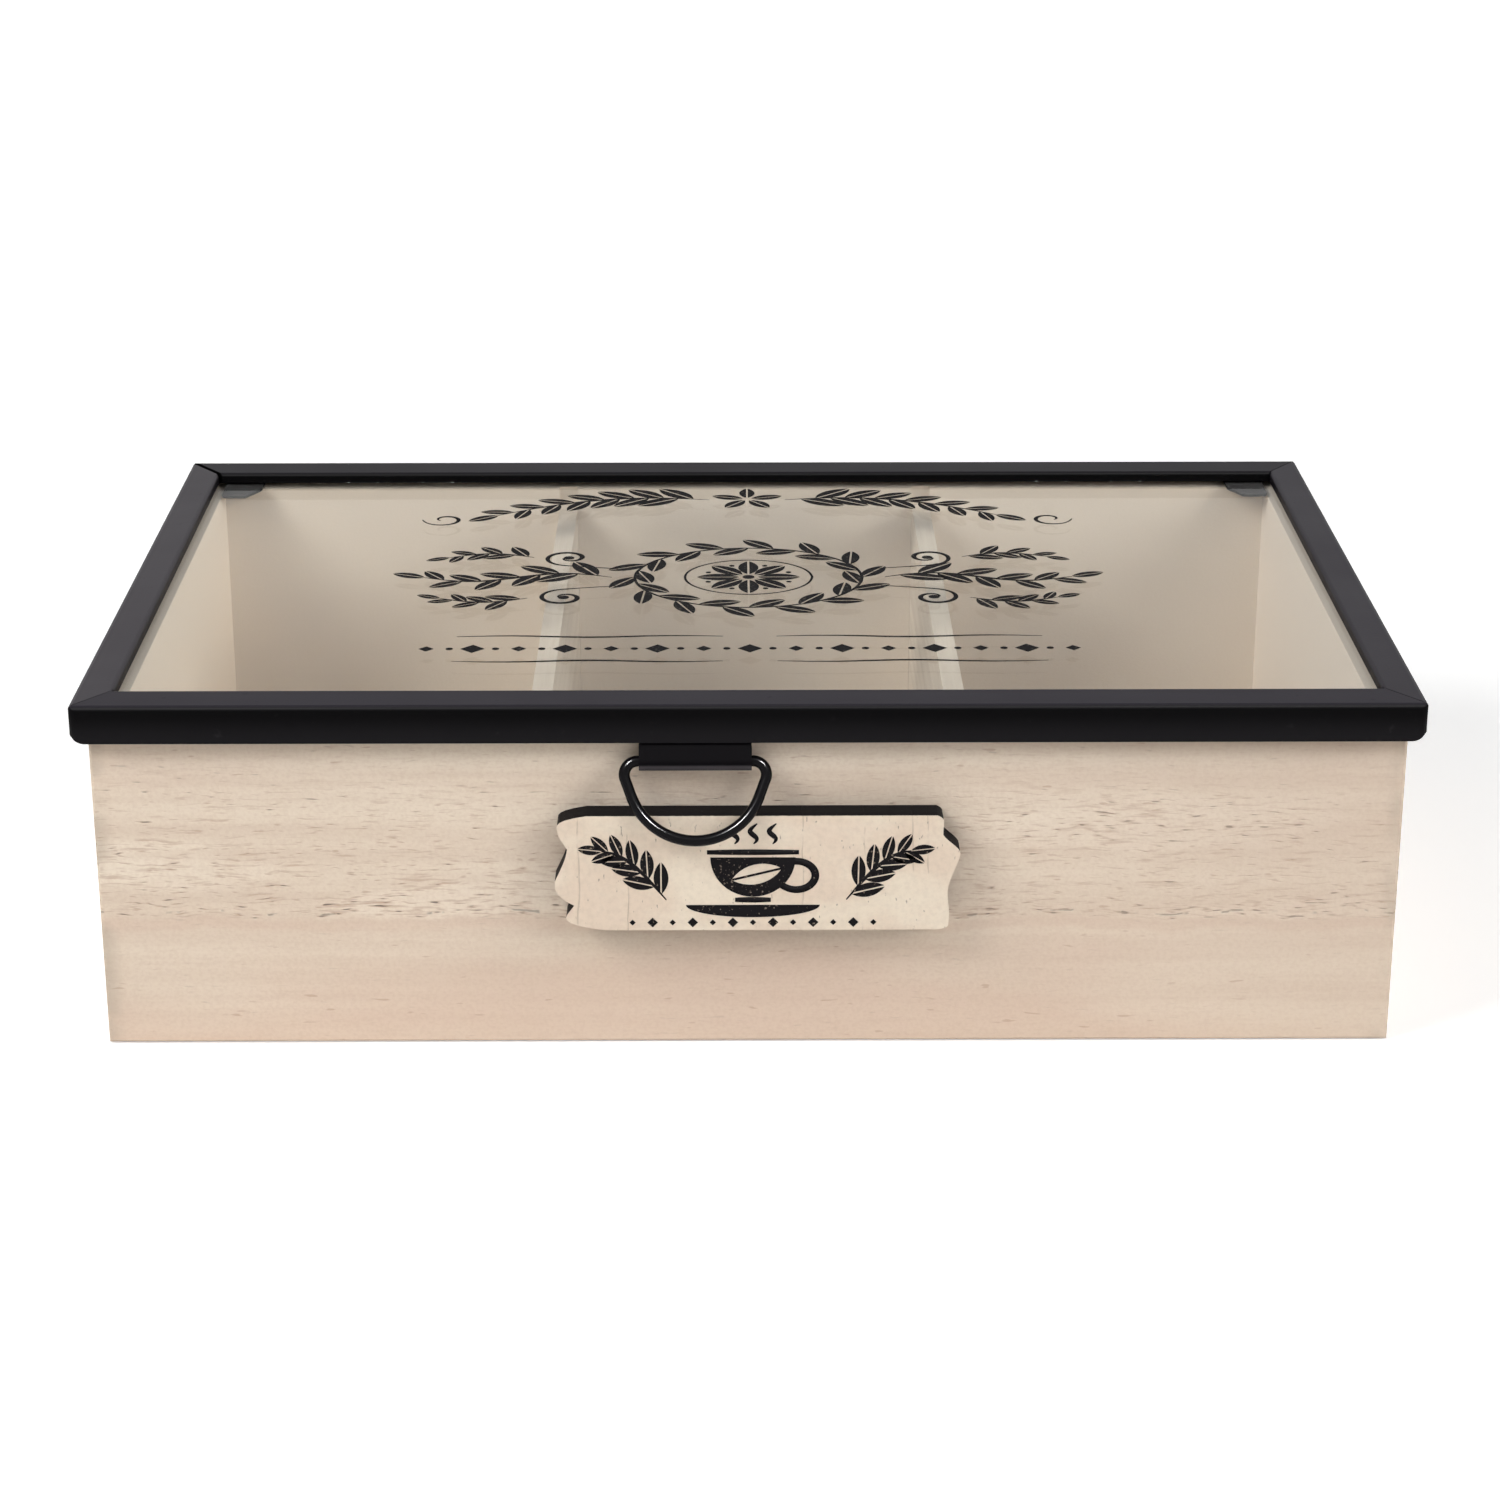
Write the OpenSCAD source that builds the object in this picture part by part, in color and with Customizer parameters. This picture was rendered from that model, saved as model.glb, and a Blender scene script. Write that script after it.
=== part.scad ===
// Tea bag organizer box: a three-compartment wooden box with a hinged glass lid.
// The lid's frame is four mitred rails of folded sheet metal, and a wire D-ring hangs
// in the loop of a folded strap. The origin is the middle of the box's underside,
// +X to the right, +Y to the back, +Z up, in millimetres.

/* [Box] */
// Width over the end walls
box_w = 234.4; // [180:0.2:320]
// Depth over the front and back walls
box_d = 149.4; // [110:0.2:220]
// Height of the walls' rim above the underside
box_h = 61.7; // [54:0.1:100]
// Thickness of the four walls
wall = 5; // [4.5:0.1:8]
// Depth of the rebates that the end walls and the bottom sit in
rebate = 2.5; // [1.5:0.1:3]
// Thickness of the bottom board
bottom_t = 3; // [2:0.1:6]
// Bevel along the box's outer edges
edge_bevel = 0.5; // [0.1:0.1:1]

/* [Dividers] */
// Number of compartments side by side
compartments = 3; // [2:1:5]
// Thickness of a divider
divider_t = 3.8; // [2:0.1:6]
// Distance of a divider's top below the rim
divider_drop = 4; // [1:0.5:20]
// Depth of the grooves that hold a divider's ends
groove = 1.5; // [0.8:0.1:2.5]

/* [Lid frame] */
// Distance of the lid's skirt beyond the box's walls, to its outer face
overhang = 2.8; // [2.6:0.1:5]
// Thickness of the folded sheet
sheet = 0.6; // [0.4:0.05:0.7]
// Height of the skirt over the lid's full height
skirt_h = 7; // [6.5:0.1:12]
// Width of the front and rear rails, seen from above
long_rail_w = 8.8; // [6:0.1:14]
// Width of the side rails, seen from above
side_rail_w = 6.8; // [5:0.1:12]
// Height of the rail's inner lip, down to the glass
lip_h = 2; // [1.2:0.1:3]
// Outer radius of the bend along the frame's top edge
bend_r = 0.9; // [0.8:0.1:2]
// Outer radius of the bend above the glass
lip_bend_r = 0.8; // [0.75:0.05:1.1]
// Radius of the lower corners of the front and rear skirts
skirt_corner_r = 2.8; // [0.5:0.1:4]
// Radius of the side skirts' lower corners, which stay hidden behind those of the front
side_corner_r = 4.5; // [0.5:0.1:5.5]
// Radius of the frame's corners, seen from above
frame_corner_r = 1.4; // [0.3:0.1:2]

/* [Glass and clips] */
// Thickness of the glass
glass_t = 2; // [1.5:0.1:3]
// Thickness of the clips that hold the glass from below
clip_t = 0.5; // [0.3:0.05:0.8]
// Width of a clip
clip_w = 8; // [5:0.5:14]
// Reach of a clip past the wall's inner face
clip_reach = 7.8; // [4:0.1:14]

/* [Hinges] */
// Distance of each hinge's middle from the end wall's outer face
hinge_inset = 42.2; // [26:0.2:80]
// Width of a hinge
hinge_w = 22; // [16:1:34]
// Height of the leaf that is screwed to the box, below the pin
hinge_leaf_h = 12; // [9:0.5:20]
// Thickness of a leaf
leaf_t = 0.6; // [0.4:0.05:0.7]
// Radius of the hinge pin
hinge_pin_r = 0.5; // [0.4:0.05:0.6]
// Height of the pin above the skirt's lower edge
hinge_rise = 0.8; // [0.4:0.05:0.9]
// Radius of a hinge screw's shank
screw_r = 0.9; // [0.6:0.05:1.2]
// Radius of a hinge screw's head
screw_head_r = 1.8; // [1.4:0.1:2.5]
// Length of a hinge screw in the wood
screw_len = 4; // [2.5:0.1:4.4]

/* [Pull] */
// Distance of the pull from the box's middle, to the left
pull_x = 9.5; // [-60:0.5:60]
// Width of the strap
strap_w = 20; // [12:0.2:40]
// Thickness of the strap
strap_t = 0.6; // [0.4:0.05:0.7]
// Distance of the ring's bar below the skirt
strap_drop = 3.7; // [3:0.1:8]
// Radius of the ring's wire
wire_r = 1; // [0.7:0.05:1.6]
// Height of the ring from the bar's middle to the wire's middle in the bow
ring_h = 14.2; // [11:0.1:18]
// Radius of the ring's two upper corners, to the wire's middle
ring_corner_r = 2.4; // [1.8:0.1:4]
// Slant of the ring's straight sides
ring_slant = 20; // [10:1:24]
// Free play of the strap between the ring's corners, on each side
ring_play = 0.2; // [0.1:0.1:2]

/* [Plaque] */
// Width of the plaque, not counting its point
plaque_w = 70.2; // [50:0.2:120]
// Distance of the plaque's middle from the box's, to the right
plaque_x = 0.4; // [-20:0.1:20]
// Height of the plaque
plaque_h = 22; // [16:0.5:26]
// Thickness of the plaque
plaque_t = 5.2; // [3:0.1:7]
// Height of the plaque's lower edge above the underside
plaque_z = 24.5; // [8:0.1:26]

/* [Clearances] */
// Gap that the glue fills between two boards
glue_gap = 0.05; // [0.02:0.01:0.1]
// Gap between pieces that move past each other
rest_gap = 0.3; // [0.3:0.05:0.6]
// Radial clearance of a hinge pin in its turning knuckle
pin_gap = 0.05; // [0.02:0.01:0.1]
// Radial clearance of the ring's bar in the strap
loop_gap = 0.1; // [0.04:0.01:0.1]
// Gap between the strap's two leaves where they lie together
leaf_gap = 0.04; // [0.02:0.01:0.1]
// Width of the seam between two mitred rails
seam = 0.14; // [0.02:0.02:0.2]

/* [Hidden] */
$fn = 48;
eps = 0.01;

// Levels, from the rim up through the clips and the glass to the top of the frame
clip_z = box_h + rest_gap;
glass_z = clip_z + clip_t;
lid_top = glass_z + glass_t + lip_h;
skirt_z = lid_top - skirt_h;
lid_w = box_w + 2 * overhang;
lid_d = box_d + 2 * overhang;
skirt_in_y = lid_d / 2 - sheet;      // inner face of the front and rear skirts
inner_top = lid_top - bend_r - eps;  // highest level that a flat piece behind the skirt reaches
glass_inset = sheet + 2 * strap_t + leaf_gap + rest_gap;  // clears the strap's two leaves

// Inside of the box
inner_w = box_w - 2 * wall;
inner_d = box_d - 2 * wall;
divider_top = box_h - divider_drop;
pitch_x = (inner_w + divider_t) / compartments;

// Hinge
hinge_x = box_w / 2 - hinge_inset;
knuckle_r = hinge_pin_r + leaf_t;
axis_y = box_d / 2 + rest_gap + knuckle_r;
axis_z = skirt_z + hinge_rise;
end_knuckle = hinge_w * 0.27;        // length of each of the box leaf's two knuckles
mid_knuckle = hinge_w - 2 * end_knuckle - 2 * rest_gap;
knuckle_room = knuckle_r + rest_gap + 0.1;
screw_x = hinge_w * 0.27;
screw_z = axis_z - hinge_leaf_h * 0.6;

// Pull: the strap's loop hangs just clear of the front wall
loop_in_r = wire_r + loop_gap;
loop_out_r = loop_in_r + strap_t;
ring_y = -(box_d / 2 + rest_gap + loop_out_r);
ring_z = skirt_z - strap_drop;

// Ring: the bow's radius follows from its height and from the slanted sides, which are
// tangent to the bow and to the upper corners
ring_bar = strap_w + 2 * ring_play;
ring_bow_r = (ring_bar / 2 * cos(ring_slant) + ring_corner_r * (1 + sin(ring_slant))
    - ring_h * sin(ring_slant)) / (1 - sin(ring_slant));

// The ring leans on the plaque's upper front edge
lean_y = box_d / 2 + plaque_t + rest_gap + ring_y;
lean_z = ring_z - (plaque_z + plaque_h);
ring_lean = atan2(lean_y, lean_z) + asin(wire_r / norm([lean_y, lean_z]));

// ---------------------------------------------------------------- shared shapes

// A bar along X, centred on x = 0, with its axis at y = z = 0
module x_rod(r, len) {
    rotate([0, 90, 0]) cylinder(r = r, h = len, center = true);
}

// A block centred on x = 0 between two corners in Y and Z
module x_block(w, y, z) {
    translate([-w / 2, y[0], z[0]]) cube([w, y[1] - y[0], z[1] - z[0]]);
}

// The same shape on the left and on the right of the middle
module at_x(x) {
    translate([x, 0, 0]) children();
}

// ---------------------------------------------------------------- wooden box

// Long wall standing at the front: rebated for the end walls and the bottom,
// grooved for the dividers, with its outer edges bevelled
module long_wall() {
    difference() {
        translate([0, -box_d / 2, 0])
            linear_extrude(box_h) polygon([
                [-box_w / 2 + edge_bevel, 0], [box_w / 2 - edge_bevel, 0],
                [box_w / 2, edge_bevel], [box_w / 2, wall],
                [-box_w / 2, wall], [-box_w / 2, edge_bevel],
            ]);
        for (side = [-1, 1])
            translate([side * (box_w / 2 - wall / 2), -inner_d / 2 - rebate / 2, box_h / 2])
                cube([wall + 2 * eps, rebate + 2 * eps, box_h + 1], center = true);
        x_block(box_w - 2 * (wall - rebate), [-inner_d / 2 - rebate, -inner_d / 2 + 1],
            [-1, bottom_t + glue_gap]);
        for (i = [1 : compartments - 1])
            at_x((i - compartments / 2) * pitch_x)
                x_block(divider_t + 2 * glue_gap, [-inner_d / 2 - groove, -inner_d / 2 + 1],
                    [bottom_t, box_h + 1]);
        translate([0, -box_d / 2, 0]) rotate([45, 0, 0])
            cube([box_w + 1, edge_bevel * sqrt(2), edge_bevel * sqrt(2)], center = true);
    }
}

module front_panel() {
    color("BurlyWood") long_wall();
}

// The back wall has pilot holes for the hinge screws
module back_panel() {
    color("BurlyWood") difference() {
        rotate([0, 0, 180]) long_wall();
        for (hinge = [-hinge_x, hinge_x], side = [-screw_x, screw_x])
            translate([hinge + side, box_d / 2 + 1, screw_z]) rotate([90, 0, 0])
                cylinder(r = screw_r, h = 1 + screw_len + 0.2);
    }
}

// End wall at the right: its ends sit in the long walls' rebates
module end_panel() {
    difference() {
        translate([box_w / 2 - wall, -inner_d / 2 - rebate + glue_gap, 0])
            cube([wall, inner_d + 2 * (rebate - glue_gap), box_h]);
        translate([box_w / 2 - wall - 1, -box_d / 2, -1])
            cube([rebate + 1, box_d, bottom_t + glue_gap + 1]);
        translate([box_w / 2, 0, 0]) rotate([0, 45, 0])
            cube([edge_bevel * sqrt(2), box_d, edge_bevel * sqrt(2)], center = true);
    }
}

module end_panel_left() {
    color("Wheat") mirror([1, 0, 0]) end_panel();
}

module end_panel_right() {
    color("Wheat") end_panel();
}

module bottom_panel() {
    bottom_w = inner_w + 2 * (rebate - glue_gap);
    bottom_d = inner_d + 2 * (rebate - glue_gap);
    color("Tan") translate([-bottom_w / 2, -bottom_d / 2, 0]) cube([bottom_w, bottom_d, bottom_t]);
}

// Divider number i, counted from the left end wall
module divider(i) {
    end_y = inner_d / 2 + groove - glue_gap;
    color("Wheat") at_x((i - compartments / 2) * pitch_x)
        x_block(divider_t, [-end_y, end_y], [bottom_t, divider_top]);
}

// ---------------------------------------------------------------- plaque

// The two saw-cut ends, from the lower edge up. Each row ends a smooth span: its height as a
// share of the plaque's, its distance outwards from the straight edge, and how steeply the
// span leaves its start and reaches its end. The left end has a notch and a hollow, and the
// right one a point.
left_cut = [
    [0, -8.6], [0.11, -1.9, 2.4, 0], [0.218, -3.4, 0.3, 1], [0.39, 0, 2.2, 0], [0.43, 0, 0, 0],
    [0.71, -2.3, 1.2, 0.3], [0.865, -0.6, 0.9, 0], [1, -5.8, 0.1, 3.8],
];
right_cut = [
    [0, -1.6], [0.04, 0.25, 2.4, 0], [0.136, 0.4, 0, 0], [0.33, 0, 0, 0],
    [0.665, 2.2, 0, 0.6], [0.83, -0.95, 0, 0.7], [0.95, -0.9, 0, 0], [1, -2, 0, 2.4],
];

// How far a span has come, from 0 to 1, at a share t of its height
function span(t, leave, arrive) =
    t * t * (3 - 2 * t) + leave * t * pow(1 - t, 2) - arrive * t * t * (1 - t);

// Outline of an end, as [distance outwards, height]
function cut_outline(rows) = [
    for (i = [1 : len(rows) - 1], k = [(i == 1 ? 0 : 1) : 7])
        let (low = rows[i - 1], high = rows[i], t = k / 7) [
            low[1] + (high[1] - low[1]) * span(t, high[2], high[3]),
            plaque_h * (low[0] + (high[0] - low[0]) * t),
        ]
];

module label_plaque() {
    left = cut_outline(left_cut);
    color("Ivory") translate([plaque_x, -box_d / 2, plaque_z]) rotate([90, 0, 0])
        linear_extrude(plaque_t) polygon(concat(
            [for (p = cut_outline(right_cut)) [plaque_w / 2 + p[0], p[1]]],
            [for (i = [len(left) - 1 : -1 : 0]) [-plaque_w / 2 - left[i][0], left[i][1]]]
        ));
}

// ---------------------------------------------------------------- lid frame

// A quarter of a bend: the middle of the bend is at the origin, and the sheet lies
// where x is left of it and y above it
module bend(outer_r) {
    intersection() {
        difference() {
            circle(r = outer_r);
            circle(r = outer_r - sheet);
        }
        translate([-outer_r, 0]) square(outer_r);
    }
}

// Section of a rail: skirt on the outside at x = 0, flange on top, lip on the inside
module rail_section(width) {
    square([sheet, skirt_h - bend_r]);
    translate([bend_r, skirt_h - bend_r]) bend(bend_r);
    translate([bend_r, skirt_h - sheet]) square([width - bend_r - lip_bend_r, sheet]);
    translate([width - lip_bend_r, skirt_h - lip_bend_r]) mirror([1, 0]) bend(lip_bend_r);
    translate([width - sheet, skirt_h - lip_h]) square([sheet, lip_h - lip_bend_r]);
}

// What is cut away to round the two lower corners of a skirt
module corner_waste(len, r) {
    for (side = [-1, 1])
        translate([side * (len / 2 - r), 0, 0]) mirror([side < 0 ? 1 : 0, 0, 0]) rotate([90, 0, 0])
            linear_extrude(4 * sheet, center = true) difference() {
                square(r + 1);
                translate([0, r]) circle(r = r);
                translate([-1, r]) square([r + 3, 2]);
                translate([-2, -1]) square([2, r + 3]);
            }
}

// A rail along X with its outer face at y = 0 and its lower edge at z = 0. The mitre runs from
// the outer corner to where this rail's inner edge meets the next rail's.
module rail(len, width, next_w, corner_r) {
    far = 1 + 1 / width;
    intersection() {
        difference() {
            rotate([90, 0, 90]) linear_extrude(len, center = true) rail_section(width);
            translate([0, sheet / 2, -eps]) corner_waste(len + 2 * eps, corner_r);
        }
        translate([0, 0, -1]) linear_extrude(skirt_h + 2) polygon([
            [-len / 2 + seam / 2, 0], [len / 2 - seam / 2, 0],
            [len / 2 - next_w * far - seam / 2, width * far],
            [-len / 2 + next_w * far + seam / 2, width * far],
        ]);
    }
}

module long_rail() {
    rail(lid_w, long_rail_w, side_rail_w, skirt_corner_r);
}

module side_rail() {
    rail(lid_d, side_rail_w, long_rail_w, side_corner_r);
}

// The frame's outline from above, with rounded corners
module frame_outline() {
    r = frame_corner_r;
    translate([0, 0, skirt_z - 1]) linear_extrude(skirt_h + 2) union() {
        square([lid_w - 2 * r, lid_d], center = true);
        square([lid_w, lid_d - 2 * r], center = true);
        for (x = [-1, 1], y = [-1, 1])
            translate([x * (lid_w / 2 - r), y * (lid_d / 2 - r)]) circle(r = r);
    }
}

module frame_rail_front() {
    color([0.11, 0.10, 0.11]) intersection() {
        translate([0, -lid_d / 2, skirt_z]) long_rail();
        frame_outline();
    }
}

// The rear skirt is notched at both hinges, so that their knuckles turn in it
module frame_rail_rear() {
    notch_w = hinge_w + 4 * rest_gap;
    color([0.11, 0.10, 0.11]) intersection() {
        difference() {
            translate([0, lid_d / 2, skirt_z]) rotate([0, 0, 180]) long_rail();
            for (x = [-hinge_x, hinge_x])
                at_x(x) x_block(notch_w, [skirt_in_y - 1, lid_d / 2 + 1],
                    [skirt_z - 1, axis_z + knuckle_room]);
        }
        frame_outline();
    }
}

module frame_rail_left() {
    color([0.11, 0.10, 0.11]) intersection() {
        translate([-lid_w / 2, 0, skirt_z]) rotate([0, 0, -90]) side_rail();
        frame_outline();
    }
}

module frame_rail_right() {
    color([0.11, 0.10, 0.11]) intersection() {
        translate([lid_w / 2, 0, skirt_z]) rotate([0, 0, 90]) side_rail();
        frame_outline();
    }
}

// ---------------------------------------------------------------- glass and clips

module glass_pane() {
    color([0.8, 0.9, 0.9, 0.3]) translate([0, 0, glass_z + glass_t / 2])
        cube([lid_w - 2 * glass_inset, lid_d - 2 * glass_inset, glass_t - 2 * eps], center = true);
}

// Clip for the front right corner: a foot that is welded to the front skirt, and a tongue
// under the glass whose free end narrows to a round tip
module glass_clip() {
    tip_r = 1.2;
    tip_y = -inner_d / 2 + clip_reach;
    narrow = clip_w * 0.35;
    translate([inner_w / 2 - clip_w - 0.2, 0, 0]) {
        translate([0, -skirt_in_y, clip_z]) cube([clip_w, clip_t, inner_top - clip_z]);
        translate([0, 0, clip_z]) linear_extrude(clip_t) {
            polygon([
                [0, -skirt_in_y], [clip_w, -skirt_in_y], [clip_w, tip_y - tip_r],
                [clip_w - tip_r, tip_y], [narrow, tip_y], [0, -inner_d / 2 + clip_reach * 0.3],
            ]);
            translate([clip_w - tip_r, tip_y - tip_r]) circle(r = tip_r);
        }
    }
}

module glass_clip_front_left() {
    color("DimGray") mirror([1, 0, 0]) glass_clip();
}

module glass_clip_front_right() {
    color("DimGray") glass_clip();
}

module glass_clip_rear_left() {
    color("DimGray") rotate([0, 0, 180]) glass_clip();
}

module glass_clip_rear_right() {
    color("DimGray") mirror([0, 1, 0]) glass_clip();
}

// ---------------------------------------------------------------- hinges

// Leaf on the back wall: two knuckles, cut away where the lid's knuckle turns
module hinge_leaf_box() {
    knuckle_x = (hinge_w - end_knuckle) / 2;
    difference() {
        union() {
            x_block(hinge_w, [box_d / 2, box_d / 2 + leaf_t], [axis_z - hinge_leaf_h, axis_z]);
            translate([0, axis_y, axis_z]) x_rod(knuckle_r, hinge_w);
        }
        x_block(mid_knuckle + 2 * rest_gap, [box_d / 2 - 1, axis_y + knuckle_r + 1],
            [axis_z - knuckle_room, axis_z + knuckle_r + 1]);
        translate([0, axis_y, axis_z]) x_rod(hinge_pin_r, hinge_w + 1);
        for (x = [-screw_x, screw_x])
            translate([x, box_d / 2 + leaf_t + 1, screw_z]) rotate([90, 0, 0])
                cylinder(r = screw_r + 0.1, h = leaf_t + 2);
    }
}

// Leaf inside the lid's rear skirt, with the middle knuckle
module hinge_leaf_lid() {
    leaf_y = [skirt_in_y - leaf_t, skirt_in_y];
    difference() {
        union() {
            x_block(hinge_w, leaf_y, [axis_z + knuckle_room, inner_top]);
            x_block(mid_knuckle, leaf_y, [axis_z, inner_top - 1]);
            translate([0, axis_y, axis_z]) x_rod(knuckle_r, mid_knuckle);
        }
        translate([0, axis_y, axis_z]) x_rod(hinge_pin_r + pin_gap, hinge_w);
    }
}

module hinge_pin() {
    translate([0, axis_y, axis_z]) x_rod(hinge_pin_r, hinge_w);
}

// Two round-headed wood screws with a slot across each head
module hinge_screws() {
    head_y = box_d / 2 + leaf_t;
    head_h = screw_head_r * 0.55;
    for (x = [-screw_x, screw_x])
        translate([x, head_y, screw_z]) rotate([-90, 0, 0]) difference() {
            union() {
                cylinder(r = screw_head_r, h = head_h * 0.5);
                translate([0, 0, head_h * 0.5])
                    cylinder(r1 = screw_head_r, r2 = screw_head_r * 0.7, h = head_h * 0.5);
                translate([0, 0, -leaf_t - screw_len]) cylinder(r = screw_r, h = screw_len + leaf_t);
            }
            translate([0, 0, head_h]) cube([3 * screw_head_r, 0.4, head_h * 0.7], center = true);
        }
}

// ---------------------------------------------------------------- pull

// The middle of the strap's thickness in a side view, with the bar's middle at the origin. It
// is one strip folded over the bar: its two leaves lie together behind the skirt, part below
// it, and run tangent into the loop.
function strap_path(front_y, rear_y, r, steps = 16) =
    let (
        fork_z = strap_drop - rest_gap,
        front_a = asin(r / norm([front_y, fork_z])) + atan2(front_y, fork_z),
        rear_a = asin(r / norm([rear_y, fork_z])) - atan2(rear_y, fork_z),
        turn = 180 + front_a + rear_a
    ) concat(
        [[front_y, inner_top - ring_z], [front_y, fork_z]],
        [for (i = [0 : steps]) let (a = 180 - front_a + turn * i / steps) [r * cos(a), r * sin(a)]],
        [[rear_y, fork_z], [rear_y, inner_top - ring_z]]
    );

// Point i of a path, moved sideways, with the corners mitred
function beside(path, i, side) =
    let (
        before = path[max(i - 1, 0)], here = path[i], after = path[min(i + 1, len(path) - 1)],
        a = i == 0 ? after - here : here - before,
        b = i == len(path) - 1 ? a : after - here,
        across = [-a[1], a[0]] / norm(a) + [-b[1], b[0]] / norm(b)
    ) here + side * across * 2 / (across * across);

// The strap's front leaf is spot-welded to the front skirt's inner face
module pull_strap() {
    front_y = -skirt_in_y - ring_y + strap_t / 2;
    path = strap_path(front_y, front_y + strap_t + leaf_gap, loop_in_r + strap_t / 2);
    last = len(path) - 1;
    color([0.06, 0.06, 0.07]) translate([-pull_x, ring_y, ring_z]) rotate([90, 0, 90])
        linear_extrude(strap_w, center = true) polygon(concat(
            [for (i = [0 : last]) beside(path, i, strap_t / 2)],
            [for (i = [last : -1 : 0]) beside(path, i, -strap_t / 2)]
        ));
}

// An arc of wire in the XZ plane, round (x, z), from angle a0 over a span of da
module wire_arc(x, z, r, a0, da) {
    translate([x, 0, z]) rotate([90, 0, 0]) rotate([0, 0, a0])
        rotate_extrude(angle = da) translate([r, 0]) circle(r = wire_r, $fn = 24);
}

// A straight length of wire up from the origin. It runs a little way into the arcs at its two
// ends, and is a hair thinner so that it stays inside them.
module wire_rod(len) {
    translate([0, 0, -0.3]) cylinder(r = wire_r - 2 * eps, h = len + 0.6, $fn = 24);
}

// D-ring: the straight bar on top, two tight corners, slanted sides and the round bow
module pull_ring() {
    bow_z = ring_bow_r - ring_h;
    side_len = (bow_z + ring_corner_r) * cos(ring_slant) + ring_bar / 2 * sin(ring_slant);
    color([0.06, 0.06, 0.07]) translate([-pull_x, ring_y, ring_z]) rotate([-ring_lean, 0, 0]) {
        translate([-ring_bar / 2, 0, 0]) rotate([0, 90, 0]) wire_rod(ring_bar);
        wire_arc(0, bow_z, ring_bow_r, 180 + ring_slant, 180 - 2 * ring_slant);
        for (side = [0, 1]) mirror([side, 0, 0]) {
            wire_arc(ring_bar / 2, -ring_corner_r, ring_corner_r, -ring_slant, 90 + ring_slant);
            translate([ring_bar / 2, 0, -ring_corner_r]) rotate([0, ring_slant, 0])
                translate([ring_corner_r, 0, -side_len]) wire_rod(side_len);
        }
    }
}

// ---------------------------------------------------------------- nodes

front_panel();
back_panel();
end_panel_left();
end_panel_right();
bottom_panel();
divider(1);  // divider_left
divider(compartments - 1);  // divider_right
label_plaque();
frame_rail_front();
frame_rail_rear();
frame_rail_left();
frame_rail_right();
glass_pane();
glass_clip_front_left();
glass_clip_front_right();
glass_clip_rear_left();
glass_clip_rear_right();
color("Silver") at_x(-hinge_x) hinge_leaf_box();  // hinge_leaf_box_left
color("Silver") at_x(hinge_x) hinge_leaf_box();  // hinge_leaf_box_right
color("Silver") at_x(-hinge_x) hinge_leaf_lid();  // hinge_leaf_lid_left
color("Silver") at_x(hinge_x) hinge_leaf_lid();  // hinge_leaf_lid_right
color("Silver") at_x(-hinge_x) hinge_pin();  // hinge_pin_left
color("Silver") at_x(hinge_x) hinge_pin();  // hinge_pin_right
color("Silver") at_x(-hinge_x) hinge_screws();  // hinge_screws_left
color("Silver") at_x(hinge_x) hinge_screws();  // hinge_screws_right
pull_strap();
pull_ring();
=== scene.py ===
# %% [markdown]
# This lesson dresses a tea bag box: a small wooden box with three compartments, a hinged lid of
# black folded metal with a glass pane, a wire ring to lift it by and a wooden plaque on the front.
# The pieces come from the imported CAD model, so the first step only loads them as a fixed frame.
# The finished model must stay the size that the CAD model has.

# %% Load the frame
import math

import bpy
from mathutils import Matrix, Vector


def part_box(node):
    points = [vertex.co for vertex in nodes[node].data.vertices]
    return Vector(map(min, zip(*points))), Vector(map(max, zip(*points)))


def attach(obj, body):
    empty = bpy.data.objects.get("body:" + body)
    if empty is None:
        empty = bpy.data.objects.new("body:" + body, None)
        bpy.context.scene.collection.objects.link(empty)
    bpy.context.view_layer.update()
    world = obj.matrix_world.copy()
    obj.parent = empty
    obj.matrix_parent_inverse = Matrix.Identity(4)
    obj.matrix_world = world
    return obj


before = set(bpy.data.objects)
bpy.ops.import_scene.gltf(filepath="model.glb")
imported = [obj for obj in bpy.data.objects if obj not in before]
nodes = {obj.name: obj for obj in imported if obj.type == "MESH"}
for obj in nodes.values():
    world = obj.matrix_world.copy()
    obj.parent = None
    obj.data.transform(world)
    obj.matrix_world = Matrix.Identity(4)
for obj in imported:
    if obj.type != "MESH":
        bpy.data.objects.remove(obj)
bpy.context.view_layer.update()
print("pieces in the frame:", len(nodes))

# %% [markdown]
# The camera comes before everything else. A low box shows best from a little above and through a
# long lens: the lid's glass and the front wall are both seen, and the sides barely converge. A
# constraint could aim the camera at the box, but plain angles leave no doubt about where it looks:
# down from the horizon, and a touch to the right.

# %% Camera
CAMERA_PLACE = (-0.0035, -0.6480, 0.2751)
CAMERA_DOWN = 20.82
CAMERA_RIGHT = 0.37
LENS = 82.86

bpy.ops.object.camera_add(
    location=CAMERA_PLACE,
    rotation=(math.radians(90 - CAMERA_DOWN), 0, -math.radians(CAMERA_RIGHT)),
)
camera = bpy.context.object
camera.name = "camera"
camera.data.lens = LENS
camera.data.sensor_width = 36
camera.data.clip_start = 0.01
bpy.context.scene.camera = camera
bpy.context.scene.view_settings.view_transform = "Standard"
print("camera looks down by", CAMERA_DOWN, "degrees through a", LENS, "mm lens")

# %% [markdown]
# Every finish in this lesson is a node tree. Written as bare nodes and links such a tree is hard to
# read, so two small classes do the typing. A Value wraps one output socket and lets Python's own
# signs add Math nodes: mask * 0.5 and 1 - mask both work. A Finish is one material, and its node
# method adds any other node from its type, its settings and what goes into its sockets.

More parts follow.
